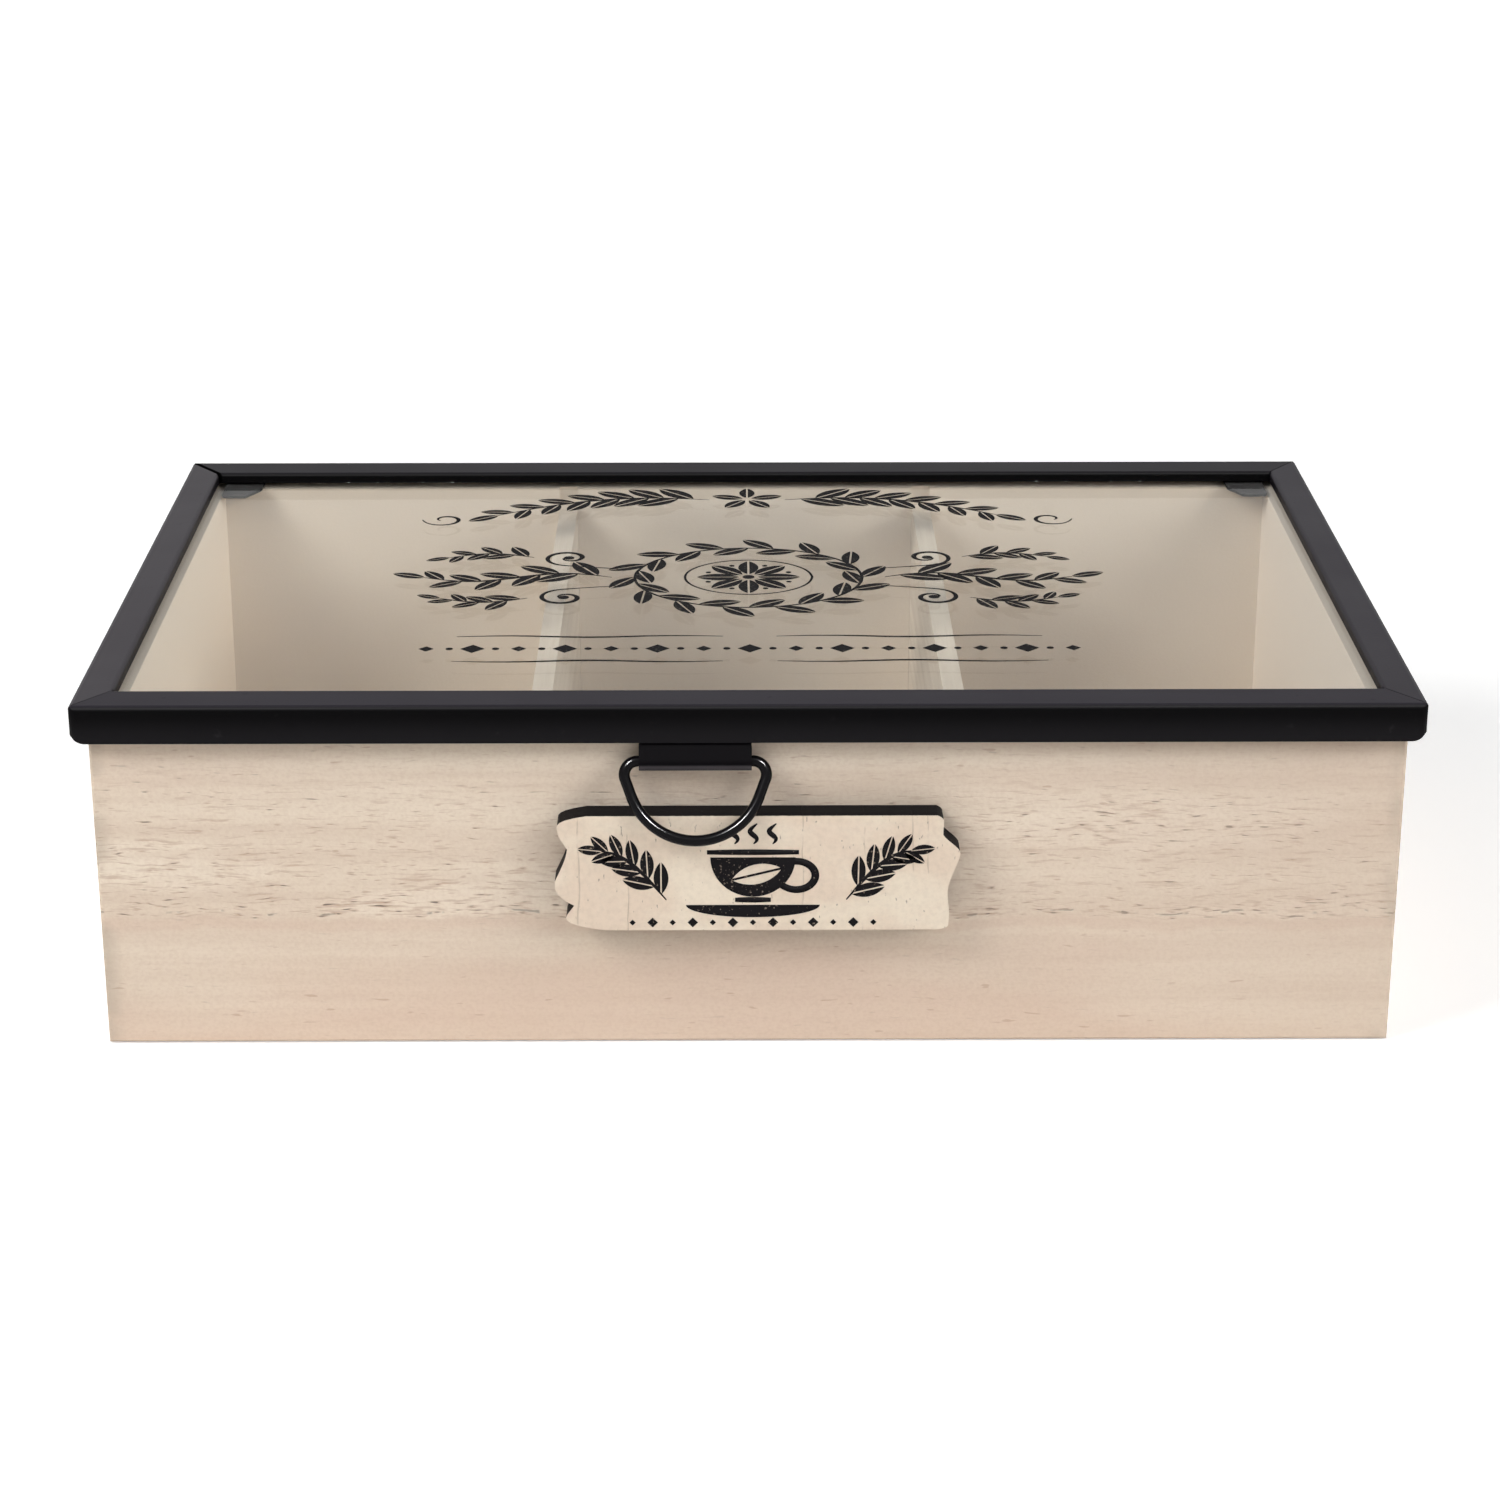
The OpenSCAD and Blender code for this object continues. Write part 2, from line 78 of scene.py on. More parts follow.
# %% Writing materials as expressions
class Value:
    """One output of a material's node, which takes part in sums as a number does."""

    def __init__(self, finish, socket):
        self.finish = finish
        self.socket = socket

    def __add__(self, other):
        return self.finish.maths("ADD", self, other)

    def __radd__(self, other):
        return self.finish.maths("ADD", other, self)

    def __sub__(self, other):
        return self.finish.maths("SUBTRACT", self, other)

    def __rsub__(self, other):
        return self.finish.maths("SUBTRACT", other, self)

    def __mul__(self, other):
        return self.finish.maths("MULTIPLY", self, other)

    def __rmul__(self, other):
        return self.finish.maths("MULTIPLY", other, self)

    def __abs__(self):
        return self.finish.maths("ABSOLUTE", self)


class Finish:
    """A material that is built one node at a time."""

    def __init__(self, name):
        self.material = bpy.data.materials.new(name)
        self.material.use_nodes = True
        self.tree = self.material.node_tree
        self.tree.nodes.clear()

    def node(self, kind, settings=None, inputs=None, output=0):
        made = self.tree.nodes.new("ShaderNode" + kind)
        for name, setting in (settings or {}).items():
            setattr(made, name, setting)
        for name, given in (inputs or {}).items():
            if isinstance(given, Value):
                self.tree.links.new(given.socket, made.inputs[name])
            else:
                made.inputs[name].default_value = given
        return Value(self, made.outputs[output])

    def maths(self, operation, *terms):
        return self.node("Math", {"operation": operation}, dict(enumerate(terms)))

    def place(self):
        """Where a point of the object is, in metres, in the frame of the whole part."""
        return self.node("TexCoord", output="Object")

    def shifted(self, place, x=0.0, y=0.0, z=0.0):
        """A place moved by numbers or by values, to bend a pattern."""
        by = self.node("CombineXYZ", inputs={0: x, 1: y, 2: z})
        return self.node("VectorMath", {"operation": "ADD"}, {0: place, 1: by})

    def part_of(self, place, axis):
        """One coordinate of a place: X, Y or Z."""
        return self.node("SeparateXYZ", inputs={0: place}, output=axis)

    def grain(self, place, cells, shift=(0, 0, 0), detail=2, roughness=0.5):
        """Noise from 0 to 1 with so many cells to the metre along X, Y and Z."""
        stretched = self.node(
            "Mapping", inputs={"Vector": place, "Location": shift, "Scale": cells}
        )
        return self.node(
            "TexNoise",
            inputs={"Vector": stretched, "Scale": 1, "Detail": detail, "Roughness": roughness},
        )

    def between(self, value, low, high):
        """0 where value is under low, 1 where it is over high, and a soft step in between."""
        return self.node(
            "MapRange",
            {"interpolation_type": "SMOOTHSTEP"},
            {"Value": value, "From Min": low, "From Max": high},
        )

    def near(self, value, sharp, soft):
        """1 where value is within sharp of nought, and 0 from soft on, on both sides."""
        return 1 - self.between(abs(value), sharp, soft)

    def highest(self, first, *others):
        """The highest of several values at each point."""
        for other in others:
            first = self.maths("MAXIMUM", first, other)
        return first

    def mix(self, share, first, second):
        """The first colour where share is 0 and the second where it is 1."""
        return self.node("Mix", {"data_type": "RGBA"}, {0: share, 6: first, 7: second}, output=2)

    def bump(self, height, depth, strength=1.0):
        return self.node(
            "Bump", inputs={"Height": height, "Distance": depth, "Strength": strength}
        )

    def surface(self, **sockets):
        """The main shader. A socket's name is written with _ for each space."""
        inputs = {name.replace("_", " "): given for name, given in sockets.items()}
        return self.node("BsdfPrincipled", inputs=inputs)

    def done(self, shader):
        """Joins the shader to the material's output."""
        end = self.tree.nodes.new("ShaderNodeOutputMaterial")
        self.tree.links.new(shader.socket, end.inputs["Surface"])
        print("finish:", self.material.name, "with", len(self.tree.nodes), "nodes")
        return self.material


def colour(red, green, blue):
    """A paint chart's colour, 0 to 255, as the linear light that a shader takes."""
    def linear(level):
        level = level / 255
        return level / 12.92 if level <= 0.04045 else ((level + 0.055) / 1.055) ** 2.4
    return (linear(red), linear(green), linear(blue), 1)


def dress(material, *names):
    """Gives CAD pieces a finish."""
    for name in names:
        nodes[name].data.materials.clear()
        nodes[name].data.materials.append(material)
    print(material.name, "on", ", ".join(names))

# %% [markdown]
# A pale box is shown on a white table that runs on to a white horizon. A sheet that curves up
# behind the box is the usual way, but it would block the view from behind, so the table is a wide
# flat disc. Its material is a plain matt white that takes the box's shadow, and to the eye, to
# mirrors and through glass it also glows. The glow is weak by the box, where the shadow has to
# stay, and grows outwards, where the lamps don't reach, so that the open table reads as pure
# white. Light Path tells the shader which kind of ray is asking.

# %% Table and horizon
TABLE_WHITE = colour(244, 244, 244)
GLOW_BY_THE_BOX = 0.40
GLOW_FAR_OUT = 0.95
GLOW_STARTS, GLOW_FULL = 0.1, 1.2
SKY_LEVEL = 0.25
TABLE_RADIUS = 6
TABLE_GAP = 0.0003

def rays(finish, *kinds):
    """1 for rays of the named kinds, else 0."""
    return finish.highest(*[finish.node("LightPath", output=f"Is {kind} Ray") for kind in kinds])

def seen_rays(finish):
    """1 for the camera's rays and for what mirrors and glass pass on, else 0."""
    return rays(finish, "Camera", "Glossy", "Transmission")

table_finish = Finish("table_white")
matt = table_finish.node("BsdfDiffuse", inputs={"Color": TABLE_WHITE})
spot = table_finish.place()
away = table_finish.node("VectorMath", {"operation": "LENGTH"}, {0: spot}, output="Value")
far_out = table_finish.between(away, GLOW_STARTS, GLOW_FULL)
level = GLOW_BY_THE_BOX + (GLOW_FAR_OUT - GLOW_BY_THE_BOX) * far_out
glow = table_finish.node("Emission", inputs={"Strength": seen_rays(table_finish) * level})
table_white = table_finish.done(table_finish.node("AddShader", inputs={0: matt, 1: glow}))

bpy.ops.mesh.primitive_circle_add(
    vertices=96, radius=TABLE_RADIUS, fill_type="NGON", location=(0, 0, -TABLE_GAP)
)
table = bpy.context.object
table.name = "table"
table.data.materials.append(table_white)

world = bpy.data.worlds.new("studio")
bpy.context.scene.world = world
world.use_nodes = True


class Studio(Finish):
    """The world's own node tree, written in the same way as a material's."""

    def __init__(self):
        self.tree = world.node_tree
        self.tree.nodes.clear()


studio = Studio()
seen = seen_rays(studio)
sky = studio.node(
    "Background", inputs={"Color": (1, 1, 1, 1), "Strength": seen + (1 - seen) * SKY_LEVEL}
)
studio_out = studio.tree.nodes.new("ShaderNodeOutputWorld")
studio.tree.links.new(sky.socket, studio_out.inputs["Surface"])
print("the table is", 2 * TABLE_RADIUS, "m across, and the sky lights the box at", SKY_LEVEL)

# %% [markdown]
# Two large soft boxes shape the light, one on each side of the camera and well round to the side.
# Each shines over the box's front corner on to the side faces of the dividers and on to the back
# wall, whose lower part stays in shade, so the inside looks deep. Their power is set so that a
# white card in the box's place would look just white: then every colour renders about as it is
# written. Mirroring rays don't see them, so the pane never shows a hard square of light. Two small
# lamps are seen by mirroring rays alone: they draw the thin white glints on the black wire, and
# cast no light or shadow on the wood.

# %% Lamps
def soft_box(name, azimuth, elevation, size, power, glints_only=False):
    """A square lamp that faces the box. Azimuth is measured from straight ahead, to the right."""
    turned, raised = math.radians(azimuth), math.radians(elevation)
    place = BOX_MIDDLE + LAMP_AWAY * Vector((
        math.sin(turned) * math.cos(raised), -math.cos(turned) * math.cos(raised), math.sin(raised)
    ))
    facing = (place - BOX_MIDDLE).to_track_quat("Z", "Y").to_euler()
    bpy.ops.object.light_add(type="AREA", location=place, rotation=facing)
    lamp = bpy.context.object
    lamp.name = name
    lamp.data.size = size
    lamp.data.energy = power
    lamp.visible_diffuse = not glints_only
    lamp.visible_glossy = glints_only
    lamp.visible_transmission = False
    print(name, "has", power, "watts on", size, "m")
    return lamp

BOX_MIDDLE = Vector((0, 0, 0.03))
LAMP_AWAY = 1.1
SOFT_SIZE, GLINT_SIZE = 0.5, 0.16

soft_box("left_light", azimuth=-60, elevation=40, size=SOFT_SIZE, power=8.0)
soft_box("right_light", azimuth=60, elevation=27, size=SOFT_SIZE, power=5.9)
for name, azimuth in (("left_glint", -26), ("right_glint", 26)):
    soft_box(name, azimuth, elevation=48, size=GLINT_SIZE, power=40.0, glints_only=True)

# %% [markdown]
# The walls are a light, open-pored wood under a thin white wash. The wash fills most of the grain,
# so what shows is a pale cream with long soft streaks, short fine pores that run with the grain,
# and a broken seam where the board's growth changes: above it the face is rough, and below it
# smooth and pinker, with a stray mark here and there. An image of wood could be laid over the
# boards, but it would repeat and turn soft close up, so the grain is drawn from noise. First comes
# what each board knows of itself: how high a point lies, how far along the grain, and whether it
# is on the outer face. The growth line wanders with slow noise, and a second slow noise crowds
# the marks in patches. From these follow masks, which say where the marks may lie.

# %% A wall board and its masks
GROWTH_LINE = 0.0246
LINE_WANDERS = 0.0042
LINE_SOFT = 0.0005
ROUGH_TOP = 0.0525
TOP_FADE = 0.009
OUTER_SKIN = 0.0012
SKIN_FADE = 0.0010

def stretch(grain_axis, along, across):
    """Cells to the metre along X, Y and Z for a board whose grain runs along one of them."""
    cells = [across, across, across]
    cells[grain_axis] = along
    return cells


class WallBoard(Finish):
    """Whitewashed wood. Grain runs along one axis to the board's end, and the outer face lies at
    a depth on another. The shift gives each board its own stretch of the noise."""

    def __init__(self, name, grain_axis, grain_end, outer_axis, outer_face, shift):
        super().__init__(name)
        self.grain_axis, self.grain_end, self.shift = grain_axis, grain_end, shift
        self.spot = self.place()
        self.height = self.part_of(self.spot, "Z")
        self.along = self.part_of(self.spot, "XYZ"[grain_axis])
        depth = abs(self.part_of(self.spot, "XYZ"[outer_axis]))
        skin = outer_face - OUTER_SKIN
        self.outside = self.between(depth, skin - SKIN_FADE, skin)

        self.wander = self.drawn_out(70, 70, detail=3)
        self.crowd = self.drawn_out(22, 110, detail=3, move=2.0)
        self.clouds = self.drawn_out(8, 30, detail=3, move=5.0)
        self.tooth = self.grain(self.spot, (1500, 1500, 1900), shift, 1)
        self.over_line = self.height + (self.wander - 0.5) * LINE_WANDERS - GROWTH_LINE
        self.upper = self.between(self.over_line, -LINE_SOFT, LINE_SOFT)
        self.at_top = self.between(self.height, ROUGH_TOP - TOP_FADE, ROUGH_TOP)
        self.drift = self.between(self.along, 0.1 * grain_end, grain_end)
        rough = self.upper * (1 - 0.8 * self.at_top)
        self.share = self.outside * (0.12 + 0.88 * rough) * (1 - 0.25 * self.drift)

    def drawn_out(self, along, across, detail=2, roughness=0.5, move=0.0, at=None):
        """Noise with so many cells to the metre along the grain and across it."""
        cells = stretch(self.grain_axis, along, across)
        moved = [part + move for part in self.shift]
        return self.grain(at or self.spot, cells, moved, detail, roughness)

# %% [markdown]
# The marks are noise drawn out along the grain, of which a threshold keeps the peaks: a low one
# leaves faint wisps, a higher one the pores, and the highest their dark cores. The place that they
# read is bent a little first, so they don't lie like ruled lines. Strays are rare marks that keep
# to no zone, and only stain. The seam follows the growth line, and a coarser noise breaks it into
# short lengths.

# %% Pores, strays and the broken seam
MARKS_BEND = 0.0022

def board_marks(wood):
    """Wisps, pores, their dark cores, stray marks and the seam, each from 0 to 1."""
    bent = wood.shifted(wood.spot, z=(wood.wander - 0.5) * MARKS_BEND)
    crowded = 0.2 * (wood.crowd - 0.5)
    near_line = wood.near(wood.over_line - 0.0015, 0.0004, 0.0030)

    fine = wood.drawn_out(170, 1500, move=3.0, at=bent)
    wisps = wood.between(fine + crowded, 0.54, 0.74) * wood.share
    coarse = wood.drawn_out(330, 1900, detail=1, at=bent) + crowded + 0.06 * near_line
    pores = wood.between(coarse, 0.60, 0.74) * wood.share
    cores = wood.between(coarse, 0.725, 0.80) * wood.share
    stray = wood.drawn_out(200, 1100, detail=1, move=8.0)
    strays = wood.between(stray, 0.73, 0.79) * wood.outside

    ragged = wood.over_line - 0.0010 + (wood.drawn_out(300, 300, move=6.0) - 0.5) * 0.0012
    lengths = wood.between(wood.drawn_out(230, 150, move=4.0), 0.52, 0.60)
    seam = wood.near(ragged, 0.00008, 0.00030) * lengths * wood.outside
    return wisps, pores, cores, strays, seam

# %% [markdown]
# The wash goes over and under the marks in the order in which it came about on the real board: the
# cream wash with its warmer streaks, the pink that shows through where it is thin, the filler in
# the rough wood, the marks, a tone that grows darker towards one end of the grain, and at last the
# wear, which greys the ends where hands hold the box. The inner face gets a plainer tone of its
# own. On the end walls that tone is lighter, painted light for the light that falls on them inside,
# and the left one is lighter than the right. Each layer is a Mix node with one of the masks as its
# share.

# %% Whitewashed walls
WASH_CREAM = colour(225, 209, 189)
WASH_WARM = colour(216, 197, 177)
WASH_PINK = colour(211, 185, 165)
WASH_DEEP = colour(196, 173, 154)
FILLER = colour(235, 221, 202)
PORE_BROWN = colour(182, 150, 127)
PORE_DARK = colour(84, 78, 70)
HAND_GREY = colour(172, 157, 140)
INSIDE_WARM = colour(217, 204, 187)
HELD_BAND = 0.0042
PINK_HEIGHT = 0.018
PINK_REACH = 0.06

def pink_share(wood):
    """Where the wash is thin: low on the wall, under the seam and in clouds at the top."""
    low = 16 * (PINK_HEIGHT - wood.height) + 4 * (PINK_REACH - abs(wood.along))
    pinker = (1 - wood.upper) * wood.between(wood.clouds + low, 0.40, 0.62)
    under_line = wood.near(wood.over_line + 0.0012, 0.0004, 0.0018)
    smooth_top = wood.at_top * wood.between(wood.clouds, 0.4, 0.6)
    return (wood.highest(pinker * 0.65, under_line * 0.5) + smooth_top * 0.35) * wood.outside

def whitewashed_wood(wood, inside):
    wisps, pores, cores, strays, seam = board_marks(wood)
    streaks = wood.drawn_out(6, 220, detail=4, roughness=0.6)
    washed = wood.mix(wood.between(streaks, 0.32, 0.68), WASH_CREAM, WASH_WARM)
    washed = wood.mix(pink_share(wood), washed, WASH_PINK)
    washed = wood.mix(wood.between(wood.crowd, 0.47, 0.62) * wood.share * 0.55, washed, FILLER)
    washed = wood.mix(wood.between(wood.tooth, 0.35, 0.75) * 0.14, washed, PORE_BROWN)
    washed = wood.mix(wisps * 0.5, washed, PORE_BROWN)
    washed = wood.mix(wood.highest(pores, strays) * 0.55, washed, PORE_BROWN)
    washed = wood.mix(wood.highest(cores * 0.75, seam * 0.5), washed, PORE_DARK)
    # Darker towards one end of the grain.
    washed = wood.mix(wood.drift * 0.3, washed, WASH_DEEP)
    held = wood.between(abs(wood.along), wood.grain_end - HELD_BAND, wood.grain_end - 0.0002)
    held = held * wood.between(wood.clouds + 0.9 * (wood.wander - 0.5), 0.45, 0.62)
    washed = wood.mix(held * 0.5 * wood.outside, washed, HAND_GREY)
    # The inner face takes its inner tone, which on the end walls carries painted light.
    washed = wood.mix((1 - wood.outside) * 0.9, washed, inside)
    relief = 0.25 * wood.tooth - 0.4 * (wisps + pores) - cores - seam
    return wood.done(wood.surface(
        Base_Color=washed,
        Roughness=0.74 + 0.12 * wood.tooth,
        Specular_IOR_Level=0.22,
        Normal=wood.bump(relief, 0.0002, 0.5),
    ))

X, Y = 0, 1
FRONT_FACE = -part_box("front_panel")[0].y
END_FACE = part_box("end_panel_right")[1].x

long_wall = WallBoard(
    "whitewashed_long_walls",
    grain_axis=X, grain_end=END_FACE, outer_axis=Y, outer_face=FRONT_FACE, shift=(3.1, 7.7, 2.3),
)
dress(whitewashed_wood(long_wall, INSIDE_WARM), "front_panel", "back_panel")
# Each end wall's inner tone is painted light: lighter than the long walls' inside, the left one
# most, for the light that falls on them.
end_boards = {
    "left": ((8.4, 1.9, 5.2), colour(250, 235, 216)),
    "right": ((2.6, 6.1, 8.8), colour(231, 218, 203)),
}
for side, (shift, inside) in end_boards.items():
    end_wall = WallBoard(
        f"whitewashed_end_{side}",
        grain_axis=Y, grain_end=FRONT_FACE, outer_axis=X, outer_face=END_FACE, shift=shift,
    )
    dress(whitewashed_wood(end_wall, inside), f"end_panel_{side}")

# %% [markdown]
# The bottom and the dividers are thinner boards of the same wood, planed smooth and left without
# the rough pores. They need only the streaks and the fibres, in a slightly warmer tone.

# %% Plain boards
BOARD_PALE = colour(212, 199, 181)
BOARD_WARM = colour(200, 185, 167)
BOARD_FIBRE = colour(186, 165, 146)

def plain_board(name, grain_axis, shift):
    board = Finish(name)
    place = board.place()
    streaks = board.grain(place, stretch(grain_axis, 6, 300), shift, detail=4, roughness=0.6)
    fibres = board.grain(place, stretch(grain_axis, 80, 1800), shift, detail=2)
    tone = board.mix(board.between(streaks, 0.3, 0.7), BOARD_PALE, BOARD_WARM)
    tone = board.mix(board.between(fibres, 0.5, 0.9) * 0.4, tone, BOARD_FIBRE)
    return board.done(board.surface(
        Base_Color=tone,
        Roughness=0.7 + 0.15 * fibres,
        Specular_IOR_Level=0.22,
        Normal=board.bump(fibres + 0.5 * streaks, 0.00012, 0.5),
    ))

dress(plain_board("plain_board_long", X, (1.3, 4.1, 9.6)), "bottom_panel")
dress(plain_board("plain_board_short", Y, (5.8, 2.2, 6.4)), "divider_left", "divider_right")

# %% [markdown]
# The plaque is a slip of board whose ends are sawn in waves. Its sides are painted black before
# the face gets a cream paint, rubbed thin so that the joints and cracks below it show. The face is
# told from the sides by its depth alone, since a piece on Object coordinates knows where it is.

# %% Plaque
FACE_CREAM = colour(235, 221, 201)
FACE_WARM = colour(228, 209, 189)
FACE_LINE = colour(150, 134, 118)
FLECK_BROWN = colour(120, 106, 94)
SIDE_BLACK = colour(12, 10, 13)
WIDE_JOINT, WIDE_WIDTH = -0.0305, 0.00018
FINE_JOINTS, FINE_WIDTH = (-0.0216, -0.0068, 0.0095, 0.0206, 0.0291, 0.0318), 0.00016

plaque_low, plaque_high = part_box("label_plaque")
plaque = Finish("plaque_paint")
place = plaque.place()
chips = plaque.grain(place, (900, 900, 900), detail=3, roughness=0.65)
clouds = plaque.grain(place, (60, 60, 90), detail=4, roughness=0.6)
behind_face = plaque.part_of(place, "Y") + (chips - 0.5) * 0.0003 - plaque_low.y
face = 1 - plaque.between(behind_face, 0.0001, 0.0002)
waver = (plaque.grain(place, (40, 40, 120), detail=2) - 0.5) * 0.0016
across = plaque.part_of(place, "X") + waver

def joint_line(at, width):
    """A thin upright line in the paint, broken by the clouds of wear."""
    return plaque.near(across - at, width * 0.4, width) * plaque.between(clouds, 0.49, 0.60)

lines = plaque.highest(
    joint_line(WIDE_JOINT, WIDE_WIDTH), *[joint_line(at, FINE_WIDTH) for at in FINE_JOINTS]
)
flecks = plaque.between(plaque.grain(place, (1300, 1300, 480), detail=2, roughness=0.7), 0.67, 0.73)
tone = plaque.mix(plaque.between(clouds, 0.35, 0.65), FACE_CREAM, FACE_WARM)
tone = plaque.mix(plaque.between(chips, 0.35, 0.75) * 0.12, tone, FACE_LINE)
tone = plaque.mix(lines * 0.3, tone, FACE_LINE)
tone = plaque.mix(flecks * 0.55, tone, FLECK_BROWN)
tone = plaque.mix(face, SIDE_BLACK, tone)
plaque_paint = plaque.done(plaque.surface(
    Base_Color=tone,
    Roughness=0.5 + 0.2 * face,
    Specular_IOR_Level=0.04,
    Normal=plaque.bump(0.4 * chips - lines - flecks, 0.0001, 0.6),
))
dress(plaque_paint, "label_plaque")

# %% [markdown]
# The lid's frame is folded sheet under a satin black paint, and its four rails meet in mitres. No
# tone of paint would show those joints or a dark fold above the skirt, because the paint's shine
# covers it. So two masks say where the paint is to be swapped for a matt near-black: a thin line
# from the outer to the inner corner of each mitre, widest at the rear left one, where the joint
# stands open, and painted shade, a band that starts at the fold and fades down the skirt, which
# puts out the fold's highlight.

# %% Mitre joints and painted shade at the folds
front_low, front_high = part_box("frame_rail_front")
left_low, left_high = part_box("frame_rail_left")
LID_TOP = front_high.z
MITRE_OUTER = (-left_low.x, -front_low.y)
MITRE_INNER = (-left_high.x, -front_high.y)
JOINT_SHARP, JOINT_SOFT = 0.00012, 0.0003
# The painted shade at the folds is full from the first depth below the top and gone at the second.
FOLD_FULL, FOLD_ENDS = 0.0012, 0.0065
SIDE_RAIL_FROM, SIDE_RAIL_FULL = MITRE_INNER[0] + 0.0018, MITRE_INNER[0] + 0.0028
LONG_RAIL_FROM, LONG_RAIL_FULL = MITRE_INNER[1] - 0.0017, MITRE_INNER[1] - 0.0002
REAR_LEFT_WIDER = 0.0003
print("mitres run from", MITRE_OUTER, "to", MITRE_INNER)

def mitre_joint(paint, place):
    """1 in a line along the rear left mitre, and a fainter, thinner one along the others."""
    x, y = paint.part_of(place, "X"), paint.part_of(place, "Y")
    run = Vector(MITRE_OUTER) - Vector(MITRE_INNER)
    run.normalize()
    aside = abs((abs(x) - MITRE_OUTER[0]) * run.y - (abs(y) - MITRE_OUTER[1]) * run.x)
    rear_left = paint.between(y, 0, 0.001) * paint.between(x, 0, -0.001)
    line = 1 - paint.between(aside - REAR_LEFT_WIDER * rear_left, JOINT_SHARP, JOINT_SOFT)
    return (0.3 + 0.7 * rear_left) * line

def painted_fold_shade(paint, place):
    """Painted shade: 1 at both folds of the long rails and the outer folds of the side rails,
    fading downwards.
    """
    x, y, z = (paint.part_of(place, axis) for axis in "XYZ")
    down = paint.between(z, LID_TOP - FOLD_ENDS, LID_TOP - FOLD_FULL)
    off_top = 1 - paint.between(z, LID_TOP - 0.0003, LID_TOP - 0.00005)
    outer_half = paint.between(abs(x), SIDE_RAIL_FROM, SIDE_RAIL_FULL)
    long_rail = paint.between(abs(y), LONG_RAIL_FROM, LONG_RAIL_FULL)
    return down * off_top * paint.highest(outer_half, long_rail)

# %% [markdown]
# Black paint shows little colour of its own, so its shine does much of the work: the tops catch the
# bright horizon at a flat angle and look charcoal, and the upright skirt stays near black. The tops
# also get a painted sheen, a lighter charcoal base colour, and each rail has its own sheen, shine
# and roughness, lit and shaded copies of one paint: the left rail lightest, the rear one darkest. A
# very fine orange-peel bump and a slightly uneven roughness keep that shine from looking like
# plastic. The same recipe with other numbers paints the glossy wire and the strap, whose fold, low
# down where the ring's bar turns, gets a painted highlight in grey.

# %% Black paint
# A painted highlight grey for the strap's lowest fold.
STRAP_HIGHLIGHT_GREY = colour(84, 80, 83)
DUST_GREY = colour(58, 56, 58)
# A matt black for the mitre joints and for the painted shade at the folds.
JOINT_AND_SHADE_BLACK = colour(6, 6, 6)
SKIRT_BLACK = colour(8, 6, 9)
WIRE_BLACK = colour(11, 9, 12)
STRAP_HIGHLIGHT_BAND = 0.0016
# How much of the painted shade the folds get.
FOLD_SHADE_SHARE = 0.68

def black_paint(name, tone, shine, roughness, painted_top_sheen=None, highlight_below=None):
    paint = Finish(name)
    place = paint.place()
    height = paint.part_of(place, "Z")
    peel = paint.grain(place, (1400, 1400, 1400), detail=2)
    haze = paint.grain(place, (40, 40, 40), detail=3, roughness=0.6)
    dust = paint.between(paint.grain(place, (420, 420, 420), (4, 4, 4), detail=3), 0.66, 0.8)
    shade = paint.mix(dust * 0.2, tone, DUST_GREY)
    relief = 0.3 * peel
    # Painted highlight: the strap's lowest fold is paler grey, standing in for the light that it
    # catches.
    if highlight_below:
        painted_highlight = 1 - paint.between(height, highlight_below - 0.0005, highlight_below)
        shade = paint.mix(painted_highlight * (0.55 + 0.45 * haze), shade, STRAP_HIGHLIGHT_GREY)
    # Painted sheen: the top faces get a lighter base colour, standing in for the bright horizon
    # that they mirror.
    if painted_top_sheen:
        joint = mitre_joint(paint, place)
        sheen_on_top = paint.between(height, LID_TOP - 0.0008, LID_TOP - 0.0002)
        shade = paint.mix(sheen_on_top, shade, painted_top_sheen)
        relief = relief - 2.0 * joint
    shader = paint.surface(
        Base_Color=shade,
        Roughness=roughness + 0.12 * haze + 0.1 * dust,
        Specular_IOR_Level=shine,
        Normal=paint.bump(relief, 0.0001, 0.35),
    )
    # Matt near-black in the mitre joints, and painted shade in a band below the folds.
    if painted_top_sheen:
        joint_and_shade_share = paint.highest(joint, painted_fold_shade(paint, place) * FOLD_SHADE_SHARE)
        joint_and_shade_black = paint.node("BsdfDiffuse", inputs={"Color": JOINT_AND_SHADE_BLACK})
        shader = paint.node("MixShader", inputs={0: joint_and_shade_share, 1: shader, 2: joint_and_shade_black})
    return paint.done(shader)

# Lit and shaded copies of one paint: each rail's shine, roughness and painted top sheen differ with
# how light falls on it.
rails_lit_and_shaded = {
    "front": (0.07, 0.44, colour(30, 26, 34)),
    "rear": (0.06, 0.44, colour(22, 19, 24)),
    "left": (0.085, 0.40, colour(48, 44, 49)),
    "right": (0.07, 0.40, colour(33, 29, 36)),
}
for end, (shine, roughness, painted_top_sheen) in rails_lit_and_shaded.items():
    paint = black_paint(f"frame_black_{end}", SKIRT_BLACK, shine, roughness, painted_top_sheen)
    dress(paint, f"frame_rail_{end}")
# The painted highlight covers the strap from its bottom up to this height.
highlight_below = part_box("pull_strap")[0].z + STRAP_HIGHLIGHT_BAND
strap_black = black_paint(
    "strap_black", SIDE_BLACK, shine=0.01, roughness=0.6, highlight_below=highlight_below
)
dress(strap_black, "pull_strap")
dress(black_paint("wire_black", WIRE_BLACK, shine=0.09, roughness=0.08), "pull_ring")

